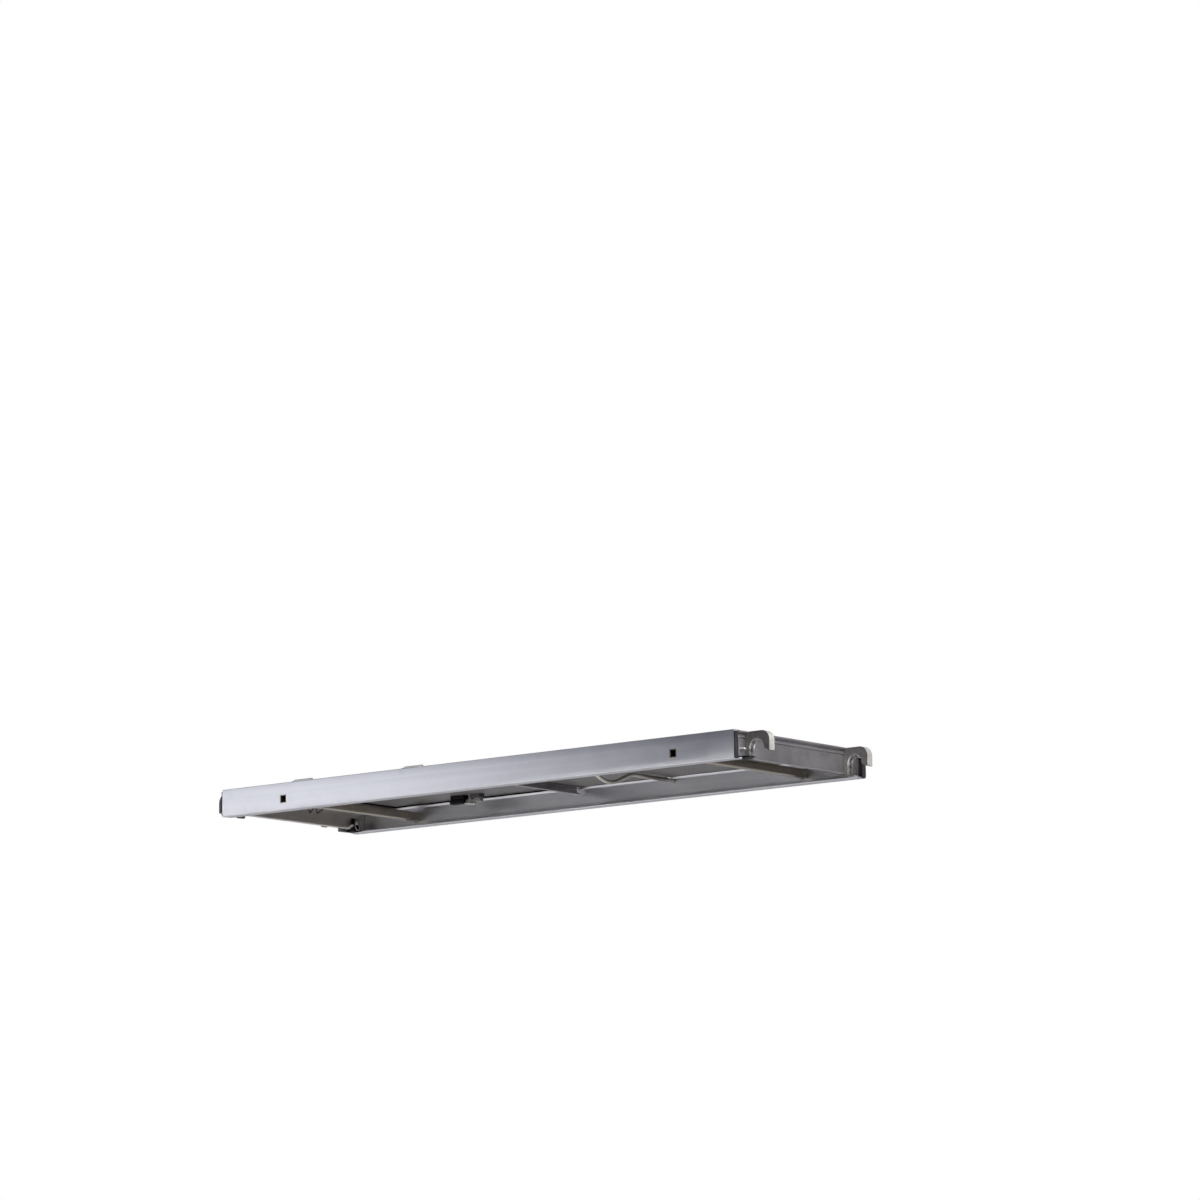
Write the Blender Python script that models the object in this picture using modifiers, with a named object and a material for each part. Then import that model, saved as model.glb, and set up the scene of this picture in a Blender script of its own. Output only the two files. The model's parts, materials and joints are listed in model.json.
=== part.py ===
"""Trapdoor plank of an aluminium scaffold tower, built as its separate pieces.

Metres, +Z up. The plank lies along X and hangs by four cast hooks on two rungs that run along Y.
The origin is the seat of the front right hook, where it rests on top of the right rung.
"""
from math import asin, cos, pi, radians, sin, sqrt, tan

import bmesh
import bpy
from mathutils import Matrix

# Driving dimensions
GAP = 0.0003                 # clearance between a piece and its neighbour
RUNG_SPAN = 2.030            # between the axes of the two rungs
RUNG_RADIUS = 0.025
HOOK_SPACING = 0.464         # between the two hooks of one end
PLANK_WIDTH = 0.620
RAIL_TOP = 0.023             # above the hook seats
RAIL_BOTTOM = -0.060
RAIL_CLEARANCE = 0.030       # from a rung's axis to the rail's end
WALL = 0.003                 # rail wall
LIP_WIDTH = 0.016            # top lip that holds the deck board down
LIP_THICKNESS = 0.0048
CAP_THICKNESS = 0.003
CAP_WIDTH = 0.0165
CAP_PLUG = 0.011             # length of a cap's plug inside the rail
LEDGE_TOP = 0.0055           # ledge that carries the deck board
LEDGE_WIDTH = 0.025
LEDGE_LIP = 0.0065           # height of the ledge's folded edge
LEDGE_SLOPE = 0.0030         # that the folded edge leans back by
FLANGE_WIDTH = 0.038
FLANGE_LIP = 0.006
DECK_THICKNESS = 0.012
HATCH_THICKNESS = 0.0135
HATCH_LEFT = -1.830
HATCH_RIGHT = -1.095
HATCH_CLEARANCE = 0.0015
SEAL_WIDTH = 0.007
SILL_REACH = 0.010           # of a sill's ledge under the hatch
SILL_FOOT = -0.016
SILL_FOOT_WIDTH = 0.014
BEAM_FACE = 0.0415           # from a rung's axis to the end beam's outer face
BEAM_DEPTH = 0.0185
BEAM_BOTTOM = -0.050
BEAM_WALL = 0.0025
TUBE_SIZE = 0.025
TUBE_WALL = 0.002
TUBE_Z = -0.0265
TUBE_XS = (-0.250, -1.750)
ROD_X = -0.735
ROD_DIAMETER = 0.012
ROD_DIP = 0.033              # of the rod's middle below its level ends
ROD_CREST = 0.120            # from the centre line to where the dip begins
HOOK_WIDTH = 0.024
HOOK_TOP = 0.0215
HOOK_FRONT = 0.0455          # from the rung's axis to the claw's outer face
HOOK_CORNER = 0.028          # radius of the claw's outer corner
HOOK_TIP_Z = -0.039
HOOK_LEG_FACE = 0.0262       # from the rung's axis to the face of the hook's leg
HOOK_LEG_Z = -0.058
HOOK_ARM_END = 0.0705        # from the rung's axis to the inner end of the hook's arm
BOLT_Z = -0.042
BOLT_DIAMETER = 0.008
BOLT_HEAD_RADIUS = 0.0070
HINGE_RADIUS = 0.0036
HINGE_LENGTH = 0.070
HINGE_OFFSET = 0.220         # from the hatch's middle to each hinge
LEAF_THICKNESS = 0.0015
FIXED_LEAF = 0.0150          # from the hinge's axis to the leaf's edge
MOVING_LEAF = 0.0340
LATCH_X = -1.462
LATCH_Y = 0.452
LATCH_HALF_WIDTH = 0.012
SPINDLE_RADIUS = 0.0050
LATCH_BASE_LOW = -0.0008
GRIP_LOW = -0.0155
GRIP_TOP = -0.0015
GRIP_END = 0.0730            # from the spindle's axis to the far end of the grip
GRIP_ROOT = 0.0150
CATCH_WIDTH = 0.026
CATCH_NOSE = 0.004           # from the rung's axis to the tip of the jaw
CATCH_TIP = 0.0035           # thickness of the jaw's tip
CATCH_TAPER = 0.036          # length over which the jaw thickens
CATCH_BOTTOM = -0.0595
CATCH_TOP = -0.018
CATCH_UPSTAND = 0.0070
CATCH_PIN_Z = -0.029
CATCH_PIN_OFFSET = 0.0285    # from the hook's middle to the pin
CATCH_PIN_REACH = 0.0140     # of the pin outside the beam
CATCH_NECK = 0.003
KNOB_RADIUS = 0.0095
RING_RADIUS = 0.0155
RING_WIRE = 0.0010

# Places that follow from them
CENTRE_X = -RUNG_SPAN / 2
CENTRE_Y = HOOK_SPACING / 2
RUNG_Z = -RUNG_RADIUS
LEDGE_BOTTOM = LEDGE_TOP - WALL
LEDGE_FOOT = LEDGE_TOP - LEDGE_LIP
LIP_UNDER = RAIL_TOP - LIP_THICKNESS
FRONT_Y = CENTRE_Y - PLANK_WIDTH / 2
REAR_Y = CENTRE_Y + PLANK_WIDTH / 2
RAIL_LENGTH = RUNG_SPAN - 2 * RAIL_CLEARANCE
BOARD_BOTTOM = LEDGE_TOP + GAP
BOARD_TOP = BOARD_BOTTOM + DECK_THICKNESS
HATCH_TOP = RAIL_TOP
HATCH_BOTTOM = HATCH_TOP - HATCH_THICKNESS
HINGE_Y = FRONT_Y + LIP_WIDTH + 0.0008
HINGE_Z = RAIL_TOP + GAP + HINGE_RADIUS
ENDS = {"right": (0.0, 1), "left": (-RUNG_SPAN, -1)}       # rung axis, outward direction
SIDES = {"front": (FRONT_Y, 1), "rear": (REAR_Y, -1)}      # outer face, inward direction
HOOK_YS = {"front": 0.0, "rear": HOOK_SPACING}

ALONG_X = (pi / 2, 0, pi / 2)
ALONG_Y = (pi / 2, 0, 0)
UPRIGHT = Matrix.Identity(3)
LYING = Matrix.Rotation(pi / 2, 3, "Y")                    # turns an upright cylinder along X


# Tools

def start():
    """Empty the scene and make the two collections."""
    for thing in list(bpy.data.objects):
        bpy.data.objects.remove(thing, do_unlink=True)
    made = []
    for name in ("scaffold_plank", "cutters"):
        collection = bpy.data.collections.new(name)
        bpy.context.scene.collection.children.link(collection)
        made.append(collection)
    return made


def material(name, colour, roughness, metallic):
    made = bpy.data.materials.new(name)
    made.use_nodes = True
    shader = made.node_tree.nodes["Principled BSDF"]
    shader.inputs["Base Color"].default_value = (*colour, 1)
    shader.inputs["Roughness"].default_value = roughness
    shader.inputs["Metallic"].default_value = metallic
    made.diffuse_color = (*colour, 1)
    return made


def hang(thing, location, parent):
    """Place a thing in the world; its parents are unturned, so their locations simply add up."""
    thing.location = location
    thing.parent = parent
    while parent:
        thing.location = thing.location - parent.location
        parent = parent.parent
    return thing


def add(name, mesh, finish, location=(0, 0, 0), rotation=(0, 0, 0), parent=None):
    """Put a mesh in the plank's collection as one named piece, in world place."""
    piece = bpy.data.objects.new(name, mesh)
    PLANK.objects.link(piece)
    if finish.name not in mesh.materials:
        mesh.materials.append(finish)
    piece.rotation_euler = rotation
    return hang(piece, location, parent)


def pivot(name, location, parent=None):
    """An empty on a joint's axis, which carries the pieces that move."""
    empty = bpy.data.objects.new(name, None)
    PLANK.objects.link(empty)
    return hang(empty, location, parent)


def rounded(corners, steps=3):
    """Turn (x, y) or (x, y, radius) corners into the points of a closed outline."""
    points = []
    count = len(corners)
    for index, corner in enumerate(corners):
        x, y = corner[:2]
        radius = corner[2] if len(corner) == 3 else 0
        if not radius:
            points.append((x, y))
            continue
        before = corners[index - 1]
        after = corners[(index + 1) % count]
        ax, ay = before[0] - x, before[1] - y
        bx, by = after[0] - x, after[1] - y
        a_length = sqrt(ax * ax + ay * ay)
        b_length = sqrt(bx * bx + by * by)
        ax, ay = ax / a_length, ay / a_length
        bx, by = bx / b_length, by / b_length
        half = asin(sqrt(max(0, (1 - ax * bx - ay * by) / 2)))
        reach = radius / tan(half)
        px, py = x + ax * reach, y + ay * reach
        qx, qy = x + bx * reach, y + by * reach
        middle = radius / sin(half)
        mx, my = ax + bx, ay + by
        m_length = sqrt(mx * mx + my * my)
        cx, cy = x + mx / m_length * middle, y + my / m_length * middle
        for step in range(steps + 1):
            part = step / steps
            vx = (px - cx) * (1 - part) + (qx - cx) * part
            vy = (py - cy) * (1 - part) + (qy - cy) * part
            length = sqrt(vx * vx + vy * vy)
            points.append((cx + vx / length * radius, cy + vy / length * radius))
    return points


def arc(cx, cy, radius, start_angle, end_angle, steps):
    """Points on a circle, from one angle to another, in degrees."""
    angles = [start_angle + (end_angle - start_angle) * i / steps for i in range(steps + 1)]
    return [(cx + radius * cos(radians(a)), cy + radius * sin(radians(a))) for a in angles]


def outline_mesh(name, loops, thickness):
    """Fill closed outlines with a 2D curve, give it thickness, and return a welded mesh."""
    curve = bpy.data.curves.new(name, "CURVE")
    curve.dimensions = "2D"
    curve.fill_mode = "BOTH"
    curve.extrude = thickness / 2
    for loop in loops:
        spline = curve.splines.new("POLY")
        spline.points.add(len(loop) - 1)
        for point, (x, y) in zip(spline.points, loop):
            point.co = (x, y, 0, 1)
        spline.use_cyclic_u = True
    holder = bpy.data.objects.new(name + "_outline", curve)
    bpy.context.scene.collection.objects.link(holder)
    return mesh_of(name, holder)


def mesh_of(name, holder):
    """The evaluated mesh of a curve object, its caps welded; the curve is removed."""
    graph = bpy.context.evaluated_depsgraph_get()
    mesh = bpy.data.meshes.new_from_object(holder.evaluated_get(graph))
    mesh.name = name
    curve = holder.data
    bpy.data.objects.remove(holder, do_unlink=True)
    bpy.data.curves.remove(curve)
    shape = bmesh.new()
    shape.from_mesh(mesh)
    bmesh.ops.remove_doubles(shape, verts=shape.verts, dist=0.000005)
    bmesh.ops.recalc_face_normals(shape, faces=shape.faces)
    shape.to_mesh(mesh)
    shape.free()
    return mesh


def box_into(shape, low, high):
    """Add a box between two corners to a bmesh."""
    made = bmesh.ops.create_cube(shape, size=1)
    size = [b - a for a, b in zip(low, high)]
    middle = [(a + b) / 2 for a, b in zip(low, high)]
    bmesh.ops.scale(shape, vec=size, verts=made["verts"])
    bmesh.ops.translate(shape, vec=middle, verts=made["verts"])


def rod_into(shape, radius, turn, middle, length, segments=24):
    """Add a capped cylinder, upright before its turn, to a bmesh."""
    made = bmesh.ops.create_cone(shape, cap_ends=True, segments=segments,
                                 radius1=radius, radius2=radius, depth=length)
    bmesh.ops.rotate(shape, cent=(0, 0, 0), matrix=turn, verts=made["verts"])
    bmesh.ops.translate(shape, vec=middle, verts=made["verts"])


def mesh_from(name, shape):
    mesh = bpy.data.meshes.new(name)
    shape.to_mesh(mesh)
    shape.free()
    return mesh


def box(name, low, high, finish, parent=None, bevel=0):
    """A box between two world corners, with its own origin at its middle."""
    middle = [(a + b) / 2 for a, b in zip(low, high)]
    half = [(b - a) / 2 for a, b in zip(low, high)]
    shape = bmesh.new()
    box_into(shape, [-h for h in half], half)
    piece = add(name, mesh_from(name, shape), finish, middle, parent=parent)
    if bevel:
        round_edges(piece, bevel)
    return piece


def turned_mesh(name, profile):
    """A profile edge chain in the XZ plane, for a Screw modifier about Z."""
    mesh = bpy.data.meshes.new(name)
    points = [(x, 0, z) for x, z in profile]
    edges = [(i, i + 1) for i in range(len(profile) - 1)]
    mesh.from_pydata(points, edges, [])
    return mesh


def screw(piece, steps=20):
    turn = piece.modifiers.new("turn", "SCREW")
    turn.axis = "Z"
    turn.angle = 2 * pi
    turn.steps = steps
    turn.render_steps = steps
    turn.use_merge_vertices = True
    turn.merge_threshold = 0.00001
    turn.use_smooth_shade = True
    return piece


def round_edges(piece, width, segments=2):
    bevel = piece.modifiers.new("edges", "BEVEL")
    bevel.width = width
    bevel.segments = segments
    bevel.limit_method = "ANGLE"
    bevel.angle_limit = radians(40)
    return piece


def cutter(name, mesh, location=(0, 0, 0), rotation=(0, 0, 0)):
    tool = bpy.data.objects.new(name, mesh)
    CUTTERS.objects.link(tool)
    tool.location = location
    tool.rotation_euler = rotation
    tool.hide_render = True
    tool.display_type = "WIRE"
    return tool


def cut(piece, tool, operation="DIFFERENCE"):
    step = piece.modifiers.new(tool.name, "BOOLEAN")
    step.operation = operation
    step.object = tool
    return piece


def smooth(mesh, angle=35):
    mesh.shade_smooth()
    mesh.set_sharp_from_angle(angle=radians(angle))


# Side rails, their caps, the cross tubes and the bent rod

def rail_outline(inward):
    """Section of a side rail: x is the distance in from its outer face, y is the height."""
    fold = LEDGE_WIDTH - LEDGE_SLOPE
    corners = [
        (0, RAIL_BOTTOM, 0.002),
        (0, RAIL_TOP, 0.0025),
        (LIP_WIDTH, RAIL_TOP, 0.0012),
        (LIP_WIDTH, LIP_UNDER),
        (WALL, LIP_UNDER),
        (WALL, LEDGE_TOP),
        (LEDGE_WIDTH, LEDGE_TOP, 0.0008),
        (fold, LEDGE_FOOT, 0.001),
        (fold - WALL, LEDGE_FOOT, 0.001),
        (fold, LEDGE_BOTTOM),
        (WALL, LEDGE_BOTTOM),
        (WALL, RAIL_BOTTOM + WALL, 0.004),
        (FLANGE_WIDTH - WALL, RAIL_BOTTOM + WALL),
        (FLANGE_WIDTH - WALL, RAIL_BOTTOM + FLANGE_LIP, 0.001),
        (FLANGE_WIDTH, RAIL_BOTTOM + FLANGE_LIP, 0.001),
        (FLANGE_WIDTH, RAIL_BOTTOM, 0.001),
    ]
    return [(inward * x, y) for x, y in rounded(corners)]


def side_rails():
    for side, (face, inward) in SIDES.items():
        name = "side_rail_" + side
        mesh = outline_mesh(name, [rail_outline(inward)], RAIL_LENGTH)
        rail = add(name, mesh, ALUMINIUM, (CENTRE_X, face, 0), ALONG_X)
        half = TUBE_SIZE / 2 + GAP
        through = 0.02
        shape = bmesh.new()
        for x in TUBE_XS:
            low = (x - half, face - through, TUBE_Z - half)
            high = (x + half, face + through, TUBE_Z + half)
            box_into(shape, low, high)
        room = ROD_DIAMETER / 2 + 2 * GAP
        ys = sorted((face + inward * WALL * 2, face + inward * (LEDGE_WIDTH + WALL)))
        low = (ROD_X - room, ys[0], LEDGE_FOOT - WALL)
        high = (ROD_X + room, ys[1], LEDGE_BOTTOM + 0.0001)
        box_into(shape, low, high)
        cut(rail, cutter("rail_holes_" + side, mesh_from("rail_holes_" + side, shape)))


def rail_caps():
    """A plastic cap closes the web's end and plugs the channel behind it."""
    plate = rounded([(0, RAIL_BOTTOM, 0.006), (0, BOARD_TOP, 0.002),
                     (CAP_WIDTH, BOARD_TOP), (CAP_WIDTH, RAIL_BOTTOM, 0.002)])
    for end, (rung_x, outward) in ENDS.items():
        rail_end = rung_x - outward * RAIL_CLEARANCE
        inner = rail_end + outward * GAP
        outer = inner + outward * CAP_THICKNESS
        for side, (face, inward) in SIDES.items():
            name = "rail_cap_%s_%s" % (end, side)
            mesh = outline_mesh(name, [[(inward * x, y) for x, y in plate]], CAP_THICKNESS)
            cap = add(name, mesh, PLASTIC, ((inner + outer) / 2, face, 0), ALONG_X)
            xs = sorted((rail_end - outward * CAP_PLUG, (inner + outer) / 2))
            ys = sorted((face + inward * (WALL + GAP), face + inward * (CAP_WIDTH - 0.001)))
            plug_low = RAIL_BOTTOM + 2.5 * WALL
            shape = bmesh.new()
            box_into(shape, (xs[0], ys[0], plug_low), (xs[1], ys[1], LEDGE_FOOT - GAP))
            plug = cutter("plug_%s_%s" % (end, side), mesh_from("plug", shape))
            cut(cap, plug, "UNION")


def cross_tubes():
    """Square tubes run through both webs and stay open at their ends."""
    half = TUBE_SIZE / 2
    inner = half - TUBE_WALL
    outer_loop = rounded([(-half, -half, 0.002), (half, -half, 0.002), (half, half, 0.002), (-half, half, 0.002)])
    inner_loop = [(-inner, -inner), (inner, -inner), (inner, inner), (-inner, inner)]
    for end, x in zip(ENDS, TUBE_XS):
        name = "cross_tube_" + end
        mesh = outline_mesh(name, [outer_loop, inner_loop], PLANK_WIDTH - 0.001)
        add(name, mesh, ALUMINIUM, (x, CENTRE_Y, TUBE_Z), ALONG_Y)


def rod_height(across):
    """Height of the bent rod's centre at a distance from the plank's centre line."""
    level = LEDGE_BOTTOM - GAP - ROD_DIAMETER / 2
    distance = min(abs(across), ROD_CREST)
    return level - ROD_DIP * (1 + cos(pi * distance / ROD_CREST)) / 2


def bent_rod():
    """A round bar from web to web, level at its ends and bent down in the middle."""
    curve = bpy.data.curves.new("bent_rod", "CURVE")
    curve.dimensions = "3D"
    curve.bevel_depth = ROD_DIAMETER / 2
    curve.bevel_resolution = 2
    curve.use_fill_caps = True
    steps = 44
    reach = PLANK_WIDTH / 2 - WALL - GAP
    spline = curve.splines.new("POLY")
    spline.points.add(steps)
    for i, point in enumerate(spline.points):
        across = -reach + 2 * reach * i / steps
        point.co = (0, across, rod_height(across), 1)
    holder = bpy.data.objects.new("rod_curve", curve)
    bpy.context.scene.collection.objects.link(holder)
    mesh = mesh_of("bent_rod", holder)
    smooth(mesh)
    add("bent_rod", mesh, ALUMINIUM, (ROD_X, CENTRE_Y, 0))


# End beams

def beam_outline(outward):
    """Section of an end beam: x is the distance in from its outer face, y is the height."""
    corners = [
        (0, BEAM_BOTTOM, 0.001),
        (0, 0.0020),
        (-0.0040, 0.0030, 0.001),
        (-0.0040, 0.0065, 0.001),
        (0, 0.0075),
        (0, 0.0145),
        (-0.0105, 0.0165, 0.001),
        (-0.0105, RAIL_TOP, 0.002),
        (0.0340, RAIL_TOP, 0.0012),
        (0.0340, LIP_UNDER),
        (BEAM_WALL, LIP_UNDER),
        (BEAM_WALL, LEDGE_TOP),
        (0.0435, LEDGE_TOP),
        (0.0435, LEDGE_BOTTOM, 0.001),
        (BEAM_DEPTH, LEDGE_BOTTOM),
        (BEAM_DEPTH, BEAM_BOTTOM, 0.001),
    ]
    return [(-outward * x, y) for x, y in rounded(corners)]


def beam_hollow(outward):
    low = BEAM_BOTTOM + BEAM_WALL
    corners = [(BEAM_WALL, low), (BEAM_DEPTH - BEAM_WALL, low),
               (BEAM_DEPTH - BEAM_WALL, 0), (BEAM_WALL, 0)]
    return [(-outward * x, y) for x, y in corners]


def hook_notch(outward):
    """Room for a hook's arm and root in the beam and in the deck board, as a section."""
    back = HOOK_ARM_END - BEAM_FACE + GAP
    corners = [(-0.02, 0.001), (0.0001, 0.001), (0.0001, LEDGE_TOP + 0.0001),
               (back, LEDGE_TOP + 0.0001), (back, 0.03), (-0.02, 0.03)]
    return [(-outward * x, y) for x, y in corners]


def notch_tools(end, rung_x, outward):
    """One cutter for each hook of an end."""
    tools = []
    for side, y in HOOK_YS.items():
        name = "notch_%s_%s" % (end, side)
        mesh = outline_mesh(name, [hook_notch(outward)], HOOK_WIDTH + 2 * GAP)
        tools.append(cutter(name, mesh, (rung_x - outward * BEAM_FACE, y, 0), ALONG_Y))
    return tools


def end_beams(notches):
    length = PLANK_WIDTH - 2 * (WALL + GAP)
    shoulder = LEDGE_WIDTH + GAP
    for end, (rung_x, outward) in ENDS.items():
        name = "end_beam_" + end
        face = rung_x - outward * BEAM_FACE
        mesh = outline_mesh(name, [beam_outline(outward), beam_hollow(outward)], length)
        beam = add(name, mesh, ALUMINIUM, (face, CENTRE_Y, 0), ALONG_Y)
        shape = bmesh.new()
        for side_face, inward in SIDES.values():
            ys = sorted((side_face - inward * 0.01, side_face + inward * shoulder))
            box_into(shape, (face - 0.08, ys[0], LEDGE_FOOT - GAP), (face + 0.08, ys[1], 0.04))
        cut(beam, cutter("shoulders_" + end, mesh_from("shoulders_" + end, shape)))
        for tool in notches[end]:
            cut(beam, tool)
        shape = bmesh.new()
        for y in HOOK_YS.values():
            rod_into(shape, BOLT_DIAMETER / 2 + GAP, LYING, (face, y, BOLT_Z), 0.08)
        rod_into(shape, BOLT_DIAMETER / 2 + GAP, LYING, (face, beside_hook(end, CATCH_PIN_OFFSET), CATCH_PIN_Z), 0.08)
        cut(beam, cutter("bolt_holes_" + end, mesh_from("bolt_holes_" + end, shape)))


# Hooks and their bolts

def hook_outline(outward):
    """Section of a hook about its rung: a claw over the rung, a leg behind it, an arm into the beam."""
    seat_step = radians(2.5)
    bore = RUNG_RADIUS / cos(seat_step)
    leg_back = -BEAM_FACE + GAP
    arm_low = BOARD_BOTTOM + GAP
    corners = arc(0, RUNG_Z, bore, -7.5, 177.5, 37)
    corners += [(-HOOK_LEG_FACE, -0.030), (-HOOK_LEG_FACE, HOOK_LEG_Z, 0.003), (leg_back, HOOK_LEG_Z, 0.003),
                (leg_back, arm_low), (-HOOK_ARM_END, arm_low), (-HOOK_ARM_END, HOOK_TOP)]
    corners += arc(HOOK_FRONT - HOOK_CORNER, HOOK_TOP - HOOK_CORNER, HOOK_CORNER, 90, 0, 10)
    corners += [(HOOK_FRONT, HOOK_TIP_Z, 0.002)]
    return [(outward * x, y) for x, y in rounded(corners)]


def hooks():
    sink_depth = 0.0043
    clear = 0.002
    for end, (rung_x, outward) in ENDS.items():
        for side, y in HOOK_YS.items():
            name = "hook_%s_%s" % (end, side)
            mesh = outline_mesh(name, [hook_outline(outward)], HOOK_WIDTH)
            hook = add(name, mesh, CASTING, (rung_x, y, 0), ALONG_Y)
            shape = bmesh.new()
            rod_into(shape, BOLT_DIAMETER / 2 + GAP, LYING, (rung_x - outward * 0.034, y, BOLT_Z), 0.03)
            hole = "hook_hole_%s_%s" % (end, side)
            cut(hook, cutter(hole, mesh_from(hole, shape)))
            shape = bmesh.new()
            middle = rung_x - outward * (HOOK_LEG_FACE + sink_depth / 2 - clear)
            rod_into(shape, BOLT_HEAD_RADIUS + GAP, LYING, (middle, y, BOLT_Z), sink_depth + 2 * clear)
            hole = "hook_sink_%s_%s" % (end, side)
            cut(hook, cutter(hole, mesh_from(hole, shape)))


def hook_bolts():
    """A bolt with a sunk head holds each hook to its beam, with a flanged nut behind."""
    radius = BOLT_DIAMETER / 2
    head = BOLT_HEAD_RADIUS
    head_height = 0.0038
    length = 0.0520
    profile = [(0, 0), (head - 0.0008, 0), (head, -0.0008), (head, -head_height), (radius, -head_height),
               (radius, -length + 0.001), (radius - 0.001, -length), (0, -length)]
    nut_bore = radius + GAP
    nut_height = 0.0070
    flange_height = 0.0018
    bolt_mesh = turned_mesh("hook_bolt", profile)
    flange_radius = 0.0085
    nut_radius = 0.0065 / cos(pi / 6)
    for end, (rung_x, outward) in ENDS.items():
        turn = (0, outward * pi / 2, 0)
        head_x = rung_x - outward * (HOOK_LEG_FACE + GAP)
        nut_x = rung_x - outward * (BEAM_FACE + BEAM_DEPTH + GAP)
        for side, y in HOOK_YS.items():
            place = "_%s_%s" % (end, side)
            screw(add("hook_bolt" + place, bolt_mesh, STEEL, (head_x, y, BOLT_Z), turn))
            bore = arc(0, 0, nut_bore, 0, 345, 23)
            rim = arc(0, 0, flange_radius, 0, 345, 23)
            flange = outline_mesh("hook_nut" + place, [rim, bore], flange_height)
            nut = add("hook_nut" + place, flange, STEEL, (nut_x - outward * flange_height / 2, y, BOLT_Z), turn)
            hexagon = outline_mesh("hex" + place, [arc(0, 0, nut_radius, 0, 300, 5), bore], nut_height)
            body_x = nut_x - outward * (flange_height * 2 / 3 + nut_height / 2)
            body = cutter("hex" + place, hexagon, (body_x, y, BOLT_Z), turn)
            cut(nut, body, "UNION")


# Deck boards, hatch sills and the hatch board

def deck_boards(notches):
    front = FRONT_Y + WALL + GAP
    rear = REAR_Y - WALL - GAP
    ends = BEAM_FACE + BEAM_WALL + GAP
    edge = WALL + GAP
    spans = {"right": (HATCH_RIGHT + edge, -ends), "left": (-RUNG_SPAN + ends, HATCH_LEFT - edge)}
    for end, (low_x, high_x) in spans.items():
        board = box("deck_board_" + end, (low_x, front, BOARD_BOTTOM), (high_x, rear, BOARD_TOP), PLYWOOD)
        for tool in notches[end]:
            cut(board, tool)


def sill_outline(towards_board):
    """Section of a hatch sill: x is the distance from the hatch edge towards the fixed board."""
    corners = [
        (0, HATCH_TOP, 0.001),
        (LIP_WIDTH, HATCH_TOP, 0.001),
        (LIP_WIDTH, LIP_UNDER),
        (WALL, LIP_UNDER),
        (WALL, LEDGE_TOP),
        (LEDGE_WIDTH, LEDGE_TOP),
        (LEDGE_WIDTH, LEDGE_BOTTOM),
        (WALL, LEDGE_BOTTOM),
        (WALL, SILL_FOOT + WALL),
        (SILL_FOOT_WIDTH, SILL_FOOT + WALL),
        (SILL_FOOT_WIDTH, SILL_FOOT, 0.001),
        (0, SILL_FOOT, 0.001),
        (0, LEDGE_BOTTOM),
        (-SILL_REACH + WALL, LEDGE_BOTTOM),
        (-SILL_REACH + WALL, LEDGE_FOOT, 0.001),
        (-SILL_REACH, LEDGE_FOOT, 0.001),
        (-SILL_REACH, LEDGE_TOP, 0.001),
        (0, LEDGE_TOP),
    ]
    return [(towards_board * x, y) for x, y in rounded(corners)]


def hatch_sills():
    length = PLANK_WIDTH - 2 * (LEDGE_WIDTH + GAP)
    for end, edge, towards in (("right", HATCH_RIGHT, 1), ("left", HATCH_LEFT, -1)):
        name = "hatch_sill_" + end
        mesh = outline_mesh(name, [sill_outline(towards)], length)
        add(name, mesh, ALUMINIUM, (edge, CENTRE_Y, 0), ALONG_Y)


def hatch_seal():
    """A rubber frame on the ledges all round the hatchway, on which the shut hatch rests."""
    low_x = HATCH_LEFT + HATCH_CLEARANCE
    high_x = HATCH_RIGHT - HATCH_CLEARANCE
    low_y = FRONT_Y + LIP_WIDTH + HATCH_CLEARANCE
    high_y = REAR_Y - LIP_WIDTH - HATCH_CLEARANCE
    loops = []
    for inset in (0, SEAL_WIDTH):
        loops.append([(low_x + inset, low_y + inset), (high_x - inset, low_y + inset),
                      (high_x - inset, high_y - inset), (low_x + inset, high_y - inset)])
    low = LEDGE_TOP + GAP
    high = HATCH_BOTTOM - GAP
    mesh = outline_mesh("hatch_seal", loops, high - low)
    add("hatch_seal", mesh, RUBBER, (0, 0, (low + high) / 2))


def hatch_board(hinge):
    low = (HATCH_LEFT + HATCH_CLEARANCE, HINGE_Y + 0.0007, HATCH_BOTTOM)
    high = (HATCH_RIGHT - HATCH_CLEARANCE, REAR_Y - LIP_WIDTH - HATCH_CLEARANCE, HATCH_TOP)
    board = box("hatch_board", low, high, PLYWOOD, parent=hinge)
    shape = bmesh.new()
    rod_into(shape, SPINDLE_RADIUS + GAP, UPRIGHT, (LATCH_X, LATCH_Y, HATCH_TOP), 0.06)
    cut(board, cutter("spindle_hole", mesh_from("spindle_hole", shape)))


# Hinges

def leaf_outline(reach, direction, low):
    """Section of a hinge leaf with its knuckle about the axis, and the pin's bore."""
    top = low + LEAF_THICKNESS
    angle_top = 180 - asin(top / HINGE_RADIUS) * 180 / pi
    around = arc(0, 0, HINGE_RADIUS, -90, angle_top, 14)
    loop = around + [(-reach, top), (-reach, low)]
    bore = arc(0, 0, 0.0020, 0, 330, 11)
    return [[(direction * x, y) for x, y in part] for part in (loop, bore)]


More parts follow.
